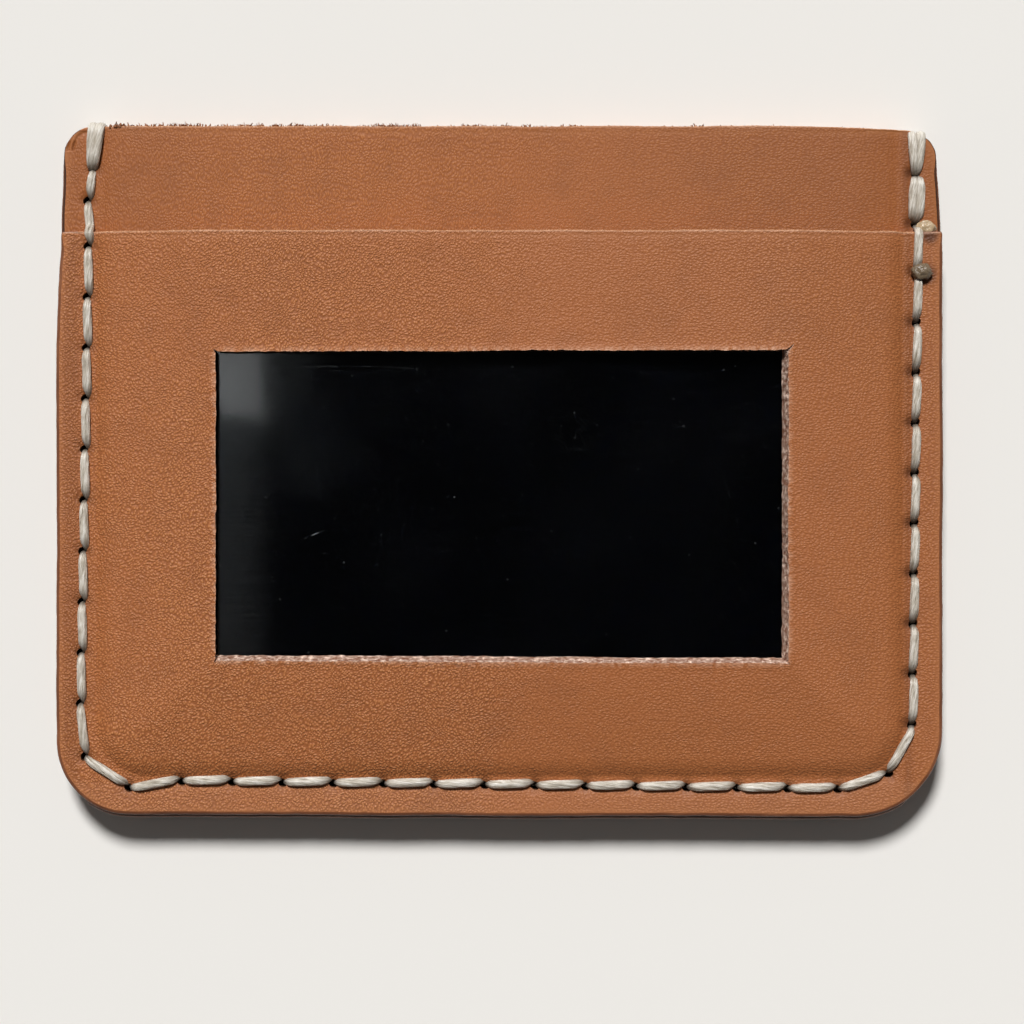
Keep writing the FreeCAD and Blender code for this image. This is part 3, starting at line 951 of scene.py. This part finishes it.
def window_ring(corners, seed, nicks):
    """The hand-cut window, clockwise. The knife ran a little past each corner."""
    corners = [Vector(corner) for corner in corners]
    centre = sum(corners, Vector((0, 0))) / 4
    points = []
    for i, corner in enumerate(corners):
        following = corners[(i + 1) % 4]
        away = Vector((math.copysign(1, (corner - centre).x), math.copysign(1, (corner - centre).y)))
        points.append(corner + away * nicks[i])
        count = WINDOW_STEPS[i % 2]
        points += [corner.lerp(following, k / count) for k in range(1, count)]
    ring = np.array([tuple(p) for p in points])
    sway = wobble(ring, 0.10, 11.0, seed) + wobble(ring, 0.08, 1.1, seed + 3)
    sway += wobble(ring, 0.07, 0.35, seed + 6)
    return ring - outwards_of(ring[::-1])[::-1] * sway[:, None]


def panel_edge(top, raw_above):
    """A panel's outline, how far its edge is rounded over, and the line where the rounding starts."""
    loop = panel_loop(top)
    radius = edge_radius(loop, raw_above)
    return loop, radius, loop - outwards_of(loop) * radius[:, None]


def finish_panel(node, panel, loop, materials, *soiling):
    points = panel.all_points()
    make_piece(f"{node}_leather", points, panel.faces, materials, stands_for=[node],
               face_materials=panel.kinds, attributes=surface_attributes(points, loop, *soiling))


def make_front_panel():
    loop, radius, inner = panel_edge(MOUTH, MOUTH)
    cut = window_ring(WINDOW_OUTSIDE, 21.0, CORNER_NICKS)
    under_cut = window_ring(WINDOW_INSIDE, 27.0, (0.0, 0.0, 0.0, 0.0))
    sewn = [h for h in HOLES if h.point.y < MOUTH]
    rings = [inner, cut] + [hole_ring(h) for h in sewn]
    pitches = [(0.25, near_seam), (0.44, away_from_seam)]
    along_cuts = np.concatenate([ring - outwards_of(ring) * ALONG_CUT for ring in (inner, cut)])
    panel = PanelMesh(rings, pitches, along_cuts, front_top, front_under, GRAIN, INSIDE)
    outer_wall(panel, loop, radius, MOUTH, True, 31.0)
    upper, lower = panel.ring(1)
    rows = []
    for share in (0.06, 0.25, 0.45, 0.65, 0.85, 1.0):
        lean = cut + (under_cut - cut) * share
        fibre = wobble(lean * 3.5, 0.14 * math.sin(math.pi * share), 1.0, 40 + share * 9)
        flat = lean + np.column_stack([fibre, fibre])
        rows.append(np.column_stack([flat, upper[:, 2] + (lower[:, 2] - upper[:, 2]) * share]))
    panel.wall(1, rows, [WINDOW_EDGE] * len(upper))
    hole_walls(panel, 2, len(sewn))
    finish_panel("front_panel", panel, loop, FRONT_MATERIALS, 0.50, MOUTH, True)


def make_rear_panel(node, pitches, top, under, grain_up, seam_dirt_and_shade, seed):
    """A full-height panel. Its edge is rounded over on the grain side."""
    loop, radius, inner = panel_edge(TOP, TOP - TOP_CORNER_R)
    rings = [inner] + [hole_ring(h) for h in HOLES]
    along_cut = inner - outwards_of(inner) * ALONG_CUT
    kinds = (GRAIN, INSIDE) if grain_up else (INSIDE, GRAIN)
    panel = PanelMesh(rings, pitches, along_cut, top, under, *kinds)
    outer_wall(panel, loop, radius, TOP - TOP_SAG - 0.3, grain_up, seed)
    hole_walls(panel, 1, len(HOLES))
    finish_panel(node, panel, loop, REAR_MATERIALS, seam_dirt_and_shade, TOP, False)


def in_view(points):
    """The strip of the middle panel that the front one leaves bare, without its creased corner."""
    return (points[:, 1] > MOUTH - 2) & ~near_corner(points)


make_front_panel()
make_rear_panel("middle_panel", [
    (0.12, near_corner),
    (0.25, lambda p: near_seam(p) & in_view(p)),
    (0.42, lambda p: away_from_seam(p) & in_view(p)),
    (1.10, lambda p: p[:, 1] <= MOUTH - 2),
], middle_top, middle_under, True, 0.55, 51.0)
make_rear_panel("back_panel", [
    (0.40, near_seam),
    (0.75, away_from_seam),
], back_top, back_under, False, 0.50, 71.0)

# ---- thread


def ground(points):
    """Height of the leather's front side, stepping up at the front panel's edge."""
    low = middle_top(points)
    return low + (front_top(points) - low) * smooth(part_way(MOUTH + 0.9 - points[:, 1], 1.2))


def sweep(name, rings, stands_for):
    """A thread from (position, side, half width, half height, dirt and painted shade) rings. Its fibres twist
    slowly.
    """
    positions, sides, widths, heights, dirt_and_shade = (np.array(part) for part in zip(*rings))
    tangents = np.gradient(positions, axis=0)
    tangents /= np.linalg.norm(tangents, axis=1, keepdims=True)
    sides = sides - tangents * (sides * tangents).sum(1, keepdims=True)
    sides /= np.linalg.norm(sides, axis=1, keepdims=True)
    normals = np.cross(tangents, sides)
    lengths = np.concatenate([[0], np.cumsum(np.linalg.norm(np.diff(positions, axis=0), axis=1))])
    angles = np.arange(THREAD_SIDES) * math.tau / THREAD_SIDES
    turned = angles[None, :] - FIBRE_TWIST * lengths[:, None]
    ripple = 1 + 0.030 * np.cos(6 * turned) + 0.018 * np.cos(11 * turned + 1.3)
    across = np.cos(angles)[None] * widths[:, None] * ripple
    up = np.sin(angles)[None] * heights[:, None] * ripple
    points = positions[:, None] + sides[:, None] * across[..., None] + normals[:, None] * up[..., None]
    u = np.arange(THREAD_SIDES + 1) / THREAD_SIDES - (FIBRE_TWIST * lengths / math.tau)[:, None]
    corners = np.stack([u, np.broadcast_to(lengths[:, None], u.shape)], -1)
    uvs = np.stack([corners[:-1, :-1], corners[:-1, 1:], corners[1:, 1:], corners[1:, :-1]], 2).reshape(-1, 2)
    end_uvs = np.zeros((2 * THREAD_SIDES, 2))
    make_piece(name, points.reshape(-1, 3), tube_faces(len(rings), THREAD_SIDES), [THREAD],
               stands_for=stands_for, slot="thread", attributes={"dirt_and_shade": np.repeat(dirt_and_shade, THREAD_SIDES)},
               uvs=np.concatenate([uvs, end_uvs]), sharp=80)


# Where a stitch starts and ends, outwards of its holes and along from them, and how deep its ends dive
START_OUT, END_IN = 0.10, -0.16
HOLE_BEFORE, HOLE_AFTER = 0.16, 0.34
FRONT_DIP, BACK_DIP = 0.42, 0.35
START_RISE, END_RISE = 0.9, 1.5          # lengths over which a stitch rises to its full height
START_SWELL, END_TAPER = 1.3, 1.1        # lengths over which it fattens at its start and narrows at its end
TAPER = 0.45                             # the share of its width that it loses at its end
DIRT_AND_SHADE_START, DIRT_AND_SHADE_END = 0.34, 1.35      # how far dirt and painted shade reach from each end of a stitch
UPWARD_LEAN = 0.35                       # stitches of the right column lean this share as much as the others
BACK_H = 0.85                            # half height on the back, as a share of that on the front
BACK_STITCH_GAP = 0.42                   # the last stitch is sewn twice, side by side
INNER_W, INNER_H, INNER_SHADE = 0.62, 0.78, 0.9     # the thread inside a hole: its width and height as shares of a stitch's, and its painted shade


def stitch_rings(a, b, front, aside=0.0):
    """One stitch, front or back. Its clean end comes up out of a hole, and the other narrows as it dives."""
    upwards = b.point.y > a.point.y + 2
    first, second, sense = (b, a, -1) if upwards else (a, b, 1)
    lean = UPWARD_LEAN if upwards else 1
    out_first, out_second = (START_OUT, END_IN * lean) if front else (END_IN * lean, START_OUT)
    start = first.at(THREAD_OUT[first.way] + out_first, sense * (HOLE_AFTER + GAP[first.way]))
    end = second.at(THREAD_OUT[second.way] + out_second, -sense * (HOLE_BEFORE + GAP[second.way]))
    length = (end - start).length
    run = (end - start) / length
    side = (sense * run.y, -sense * run.x, 0)
    turns = np.linspace(0, math.pi, STITCH_STEPS)
    share = (1 - np.sign(np.cos(turns)) * np.abs(np.cos(turns)) ** 0.85) / 2
    from_start, to_end = share * length, (1 - share) * length
    rise = np.minimum(part_way(from_start, START_RISE), part_way(to_end, END_RISE))
    rise = np.sin(rise * math.pi / 2) ** 0.8
    narrow = np.clip(1 - to_end / END_TAPER, 0, 1) ** 1.5 * TAPER * lean
    width = THREAD_W * (0.80 + 0.20 * part_way(from_start, START_SWELL)) * (1 - narrow)
    flat = np.array([tuple(start.lerp(end, s)) for s in share])
    flat -= np.outer(THREAD_W * narrow * 0.7 * lean - aside * np.sin(turns) ** 0.4, side[:2])
    if front:
        z = ground(flat) + THREAD_LIFT - (FRONT_DIP + THREAD_LIFT) * (1 - rise)
        height = THREAD_H * (0.75 + 0.25 * rise)
    else:
        z = back_under(flat) - 0.05 - THREAD_H * BACK_H + (BACK_DIP + THREAD_H) * (1 - rise)
        height = THREAD_H * BACK_H * (0.75 + 0.25 * rise)
    # darker towards both ends: dirt, and painted shade where the stitch dives into a hole
    end_darkening = 0.80 * bell(from_start, DIRT_AND_SHADE_START)
    end_darkening += 0.42 * bell(to_end, DIRT_AND_SHADE_END) + 0.50 * bell(to_end, DIRT_AND_SHADE_START)
    middles = np.column_stack([flat, z])
    return list(zip(middles, [side] * STITCH_STEPS, width, height, end_darkening))[::sense]


def strand_rings(on_front):
    """One half of the thread: every other stitch on the front, starting there or on the back."""
    rings = []
    last = len(HOLES) - 2
    for i, (a, b) in enumerate(zip(HOLES, HOLES[1:])):
        front = on_front == (i % 2 == 0)
        piece = stitch_rings(a, b, front, BACK_STITCH_GAP if front and i == last else 0.0)
        if rings:
            start, (end, side, *_) = rings[-1][0], piece[0]
            for share in (0.2, 0.4, 0.6, 0.8):
                spot = start * (1 - share) + end * share
                rings.append((spot, side, THREAD_W * INNER_W, THREAD_H * INNER_H, INNER_SHADE))
        rings += piece
    return rings


sweep("thread_strand_a", strand_rings(True), ["thread_half_a"])
sweep("thread_strand_b", strand_rings(False), ["thread_half_b"])
sweep("thread_back_stitch", stitch_rings(HOLES[-2], HOLES[-1], True, -BACK_STITCH_GAP), [])


def spline(points, count):
    """Catmull-Rom curve through points, count steps between each two."""
    points = [np.array(p, float) for p in points]
    points = [2 * points[0] - points[1]] + points + [2 * points[-1] - points[-2]]
    result = []
    for i in range(1, len(points) - 2):
        p0, p1, p2, p3 = points[i - 1:i + 3]
        for k in range(count):
            t = k / count
            result.append(0.5 * (2 * p1 + (p2 - p0) * t + (2 * p0 - 5 * p1 + 4 * p2 - p3) * t * t
                                 + (3 * p1 - p0 - 3 * p2 + p3) * t ** 3))
    result.append(points[-2])
    return result


# Half width, and darkening (dirt, with painted shade inside the holes), of a turn over the top edge, from
# inside the hole, up the front and down the back
WRAP_WIDTHS = [0.36, 0.44, 0.53, 0.55, 0.55, 0.52, 0.52, 0.52, 0.52, 0.50, 0.42, 0.36]
WRAP_DIRT_AND_SHADE = [0.9, 0.45, 0.12, 0.05, 0.0, 0.0, 0.1, 0.1, 0.1, 0.1, 0.8, 1.0]
WRAP_FLATNESS = 0.78
WRAP_DEEP = 0.9            # how far inside the holes a turn starts and ends


def wrap(name, points, stands_for):
    """A turn of thread over the top edge through twelve points."""
    path = spline([(*p, w, d) for p, w, d in zip(points, WRAP_WIDTHS, WRAP_DIRT_AND_SHADE)], 9)
    rings = [(p[:3], (1, 0, 0), p[3], p[3] * WRAP_FLATNESS, np.clip(p[4], 0, 1)) for p in path]
    sweep(name, rings, stands_for)


def over_top(hole, bottom_out, top_out, y_top, lift):
    """The middle of a turn: out of a hole, up the front, round the top edge, down the back and in again."""
    x0, y0 = hole.point.x + bottom_out, hole.point.y
    lean = top_out - bottom_out
    return [
        (x0, y0 - 0.10, FRONT_Z - WRAP_DEEP),
        (x0 + lean * 0.03, y0 + 0.25, FRONT_Z - 0.10),
        (x0 + lean * 0.30, y0 + 1.2, FRONT_Z + 0.32 + lift),
        (x0 + lean * 0.75, y_top - 1.3, FRONT_Z + 0.34 + lift),
        (x0 + lean, y_top + 0.05, FRONT_Z + 0.05),
        (x0 + lean, y_top + 0.34, FRONT_Z - 0.9),
        (x0 + lean, y_top + 0.34, BACK_Z + 0.9),
        (x0 + lean, y_top + 0.05, BACK_Z - 0.05),
        (x0, y_top - 1.3, BACK_Z - 0.40),
        (x0, y0 + 1.2, BACK_Z - 0.40),
        (x0, y0 + 0.25, BACK_Z + 0.05),
        (x0, y0 - 0.05, BACK_Z + WRAP_DEEP),
    ]


LEFT_WRAP, RIGHT_WRAP = HOLES[0], HOLES[-1]
LEFT_TOP, RIGHT_TOP = TOP - 0.13, TOP - TOP_SAG - 0.62
wrap("edge_wrap_left_inner", over_top(LEFT_WRAP, 0.18, 0.88, LEFT_TOP, 0.12), ["edge_wrap_left"])
wrap("edge_wrap_left_outer", over_top(LEFT_WRAP, -0.22, 0.00, LEFT_TOP, 0.0), [])
wrap("thread_tail_front_wrap", over_top(RIGHT_WRAP, 0.16, -0.12, RIGHT_TOP, 0.10), ["thread_tail_front"])
wrap("thread_tail_back_wrap", over_top(RIGHT_WRAP, 0.44, 0.88, RIGHT_TOP, 0.0), ["thread_tail_back"])

# ---- melted thread ends


FLATTENED = -0.35          # a bead is pressed flat below this share of its height


def melted_end(name, centre, size, seed, material, stands_for):
    """A bead of melted thread, lumpy and flattened on to the leather."""
    made = bmesh.new()
    bmesh.ops.create_icosphere(made, subdivisions=5, radius=1.0)
    points = []
    lit_shares = []
    for vert in made.verts:
        co = vert.co.copy()
        lump = 1 + 0.22 * noise.noise(co * 1.6 + Vector((seed, 0, 0)))
        lump += 0.05 * noise.noise(co * 4 + Vector((seed, 3, 0)))
        z = co.z * lump
        if z < FLATTENED:
            z = FLATTENED + (z - FLATTENED) * 0.15
        shape = (co.x * lump, co.y * lump, z)
        points.append(tuple(c + part * radius for c, part, radius in zip(centre, shape, size)))
        # painted light: lighter high up and towards +Y, where the light comes from, darker low down
        lit_shares.append(min(max(z * 0.5 + co.y * 0.35 + 0.5, 0), 1))
    faces = [tuple(v.index for v in f.verts) for f in made.faces]
    made.free()
    make_piece(name, points, faces, [material], stands_for=[stands_for], slot="melted_thread",
               attributes={"top": lit_shares}, sharp=180)


BURNT_LIGHT = melted_thread("melted_light", srgb(178, 154, 122), srgb(92, 54, 27), 0.22)
BURNT_DARK = melted_thread("melted_dark", srgb(112, 96, 76), srgb(42, 32, 23), 0.26)
melted_end("melted_end_upper_bead", (*UPPER_BEAD, FRONT_Z + 0.80), (1.10, 0.84, 0.60), 2.0,
           BURNT_LIGHT, "melted_end_upper")
melted_end("melted_end_lower_bead", (*LOWER_BEAD, STACK_TOP + 0.46), (1.12, 0.98, 0.66), 7.0,
           BURNT_DARK, "melted_end_lower")

# ---- card, pane and tape


CARD_CORNER_R, CARD_EASE = 3.18, 0.06
CARD_FLAT = 3.0            # the innermost line of points lies this far inside the edge


def make_card():
    """A blank card with its rim just eased."""
    sides = (CARD_LOW.x, CARD_HIGH.x, CARD_HIGH.x, CARD_LOW.x)
    ends = (CARD_LOW.y, CARD_LOW.y, CARD_HIGH.y, CARD_HIGH.y)
    loop = rounded_loop([(x, y, CARD_CORNER_R) for x, y in zip(sides, ends)], 0.4)
    rim = [(-CARD_FLAT, 0), (-CARD_EASE, 0), (-CARD_EASE * 0.3, CARD_EASE * 0.3), (0, CARD_EASE)]
    levels = [(out, CARD_LOW.z + up) for out, up in rim]
    levels += [(out, CARD_HIGH.z - up) for out, up in reversed(rim)]
    outwards = outwards_of(loop)
    points = [np.column_stack([loop + outwards * out, np.full(len(loop), z)]) for out, z in levels]
    make_piece("id_card_blank", np.concatenate(points), tube_faces(len(levels), len(loop)), [card_face()],
               body="card", stands_for=["id_card"], slot="card", sharp=30)


make_card()

dressed = {"window_pane": clear_sheet()}
dressed |= {f"pane_tape_{side}": TAPE for side in ("top", "bottom", "left", "right")}
for node_name, material in dressed.items():
    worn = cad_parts[node_name].data.materials
    worn.clear()
    worn.append(material)

# ---- loose fibres along the raw top edge


# Loose fibres, in millimetres
FRAYED_FROM, FRAYED_TO = -45.0, 46.0
FIBRE_STEP = 0.045
FIBRE_LENGTH = (0.22, 0.42)
FIBRE_THICKNESS = (0.08, 0.16)
FIBRE_TAPER = 0.55
FIBRE_JOINTS, FIBRE_SIDES = 4, 3
FIBRE_ROOT = 0.12          # how far below the edge they start
LIGHT_SHARE, MIDDLE_SHARE = 0.4, 0.7     # the share of them that are light, and that are on the middle panel


def fibre(base, heading, length, thickness):
    """A short bent hair as a three-sided tapering tube: its points and faces."""
    points = []
    bend = Vector((random.uniform(-1, 1), random.uniform(-0.4, 0.4), random.uniform(-1, 1))) * length * 0.5
    for i in range(FIBRE_JOINTS + 1):
        share = i / FIBRE_JOINTS
        middle = base + heading * length * share + bend * share * share
        radius = thickness * (1 - FIBRE_TAPER * share)
        for k in range(FIBRE_SIDES):
            turn = math.tau * k / FIBRE_SIDES
            points.append(tuple(middle + Vector((math.cos(turn), 0, math.sin(turn))) * radius))
    return points, tube_faces(FIBRE_JOINTS + 1, FIBRE_SIDES)


def fuzziness(x):
    """How thickly the raw top edge is frayed at x: most at the left, in tufts."""
    tufts = noise.noise(Vector((x / 5, 0, 5))) + 0.6 * noise.noise(Vector((x / 1.3, 4, 5)))
    return min(max(0.95 + tufts - (x - FRAYED_FROM) / 70, 0.06), 1)


def make_fibres():
    """Loose fibres in two materials, light and dark, along the middle and back panels' raw top edges."""
    made = {"light": ([], []), "dark": ([], [])}
    for x in np.arange(FRAYED_FROM, FRAYED_TO, FIBRE_STEP):
        if random.random() > fuzziness(x):
            continue
        spot = x + random.uniform(-0.05, 0.05)
        sag = TOP_SAG * max(0, (spot - TOP_SAG_X) / (TOP_RIGHT_X - TOP_SAG_X))
        z = random.uniform(MIDDLE_RISE + FRONT_Z - 0.9, MIDDLE_RISE + FRONT_Z - 0.1)
        z = z if random.random() < MIDDLE_SHARE else random.uniform(0.4, 1.5)
        base = Vector((spot, TOP - sag - FIBRE_ROOT, z))
        heading = Vector((random.uniform(-0.8, 0.8), 1, random.uniform(-0.3, 0.3))).normalized()
        length = random.uniform(*FIBRE_LENGTH) * (0.7 + 0.7 * fuzziness(x))
        shape, joined = fibre(base, heading, length, random.uniform(*FIBRE_THICKNESS))
        points, faces = made["light" if random.random() < LIGHT_SHARE else "dark"]
        faces += [tuple(len(points) + i for i in face) for face in joined]
        points += shape
    for tone, pale, deep in (("light", srgb(190, 130, 92), srgb(148, 95, 64)),
                             ("dark", srgb(166, 108, 72), srgb(128, 80, 52))):
        make_piece(f"top_edge_fibres_{tone}", *made[tone], [raw_edge(f"loose_fibre_{tone}", pale, deep)])


make_fibres()

# ---- stage, light and camera

floor_mesh = bpy.data.meshes.new("floor")
FLOOR = 4.0
floor_mesh.from_pydata([(-FLOOR, -FLOOR, 0), (FLOOR, -FLOOR, 0), (FLOOR, FLOOR, 0), (-FLOOR, FLOOR, 0)], [],
                       [(0, 1, 2, 3)])
floor = bpy.data.objects.new("floor", floor_mesh)
bpy.context.scene.collection.objects.link(floor)
paper = Shader("floor_paper")
floor_mesh.materials.append(
    paper.set(base_color=(0.800, 0.777, 0.740, 1.0), roughness=0.9, specular_ior_level=0.0))


def add_light(name, kind, location, target, energy):
    data = bpy.data.lights.new(name, kind)
    data.energy = energy
    light = bpy.data.objects.new(name, data)
    bpy.context.scene.collection.objects.link(light)
    light.location = location
    light.rotation_euler = (Vector(target) - light.location).to_track_quat("-Z", "Y").to_euler()
    return data


add_light("key", "SUN", (-0.11, 0.62, 0.758), (0, 0, 0), 3.93).angle = math.radians(13)
# Two soft panels that the clear sheet mirrors: a bright square one, and a faint one below it
SOFTBOX_X, SOFTBOX_Z = -0.1235, 0.60
for name, size, centre_y, energy in (
        ("softbox", (0.07, 0.07), 0.0638, 0.019), ("softbox_skirt", (0.07, 0.11), -0.026, 0.0009)):
    panel_light = add_light(name, "AREA", (SOFTBOX_X, centre_y, SOFTBOX_Z), (SOFTBOX_X, centre_y, 0), energy)
    panel_light.shape = "RECTANGLE"
    panel_light.size, panel_light.size_y = size

world = bpy.data.worlds.new("studio")
bpy.context.scene.world = world
sky = Nodes(world)
height = sky.node("ShaderNodeSeparateXYZ", {"Vector": sky.node("ShaderNodeTexCoord").outputs["Generated"]})
# Brightness by the height of the direction: paler at the horizon, and nearly black straight overhead
sky_levels = [(0.0, 0.17), (0.30, 0.145), (0.80, 0.085), (0.97, 0.004)]
stops = [(place, (level, level, level * 0.985, 1)) for place, level in sky_levels]
sky.feed(sky.tree.nodes["Background"].inputs["Color"], sky.ramp(height.outputs["Z"], *stops))

LENS = 85.0
SENSOR = 36.0
VIEW_WIDTH = 0.11776       # what the picture spans at the leather
VIEW_CENTRE = (0.00144, -0.00514)
VIEW_Z = 0.0052
camera = bpy.data.cameras.new("camera")
camera.lens = LENS
camera.sensor_width = SENSOR
camera_object = bpy.data.objects.new("camera", camera)
bpy.context.scene.collection.objects.link(camera_object)
camera_object.location = (*VIEW_CENTRE, VIEW_Z + VIEW_WIDTH * LENS / SENSOR)
bpy.context.scene.camera = camera_object
bpy.context.scene.view_settings.view_transform = "Standard"
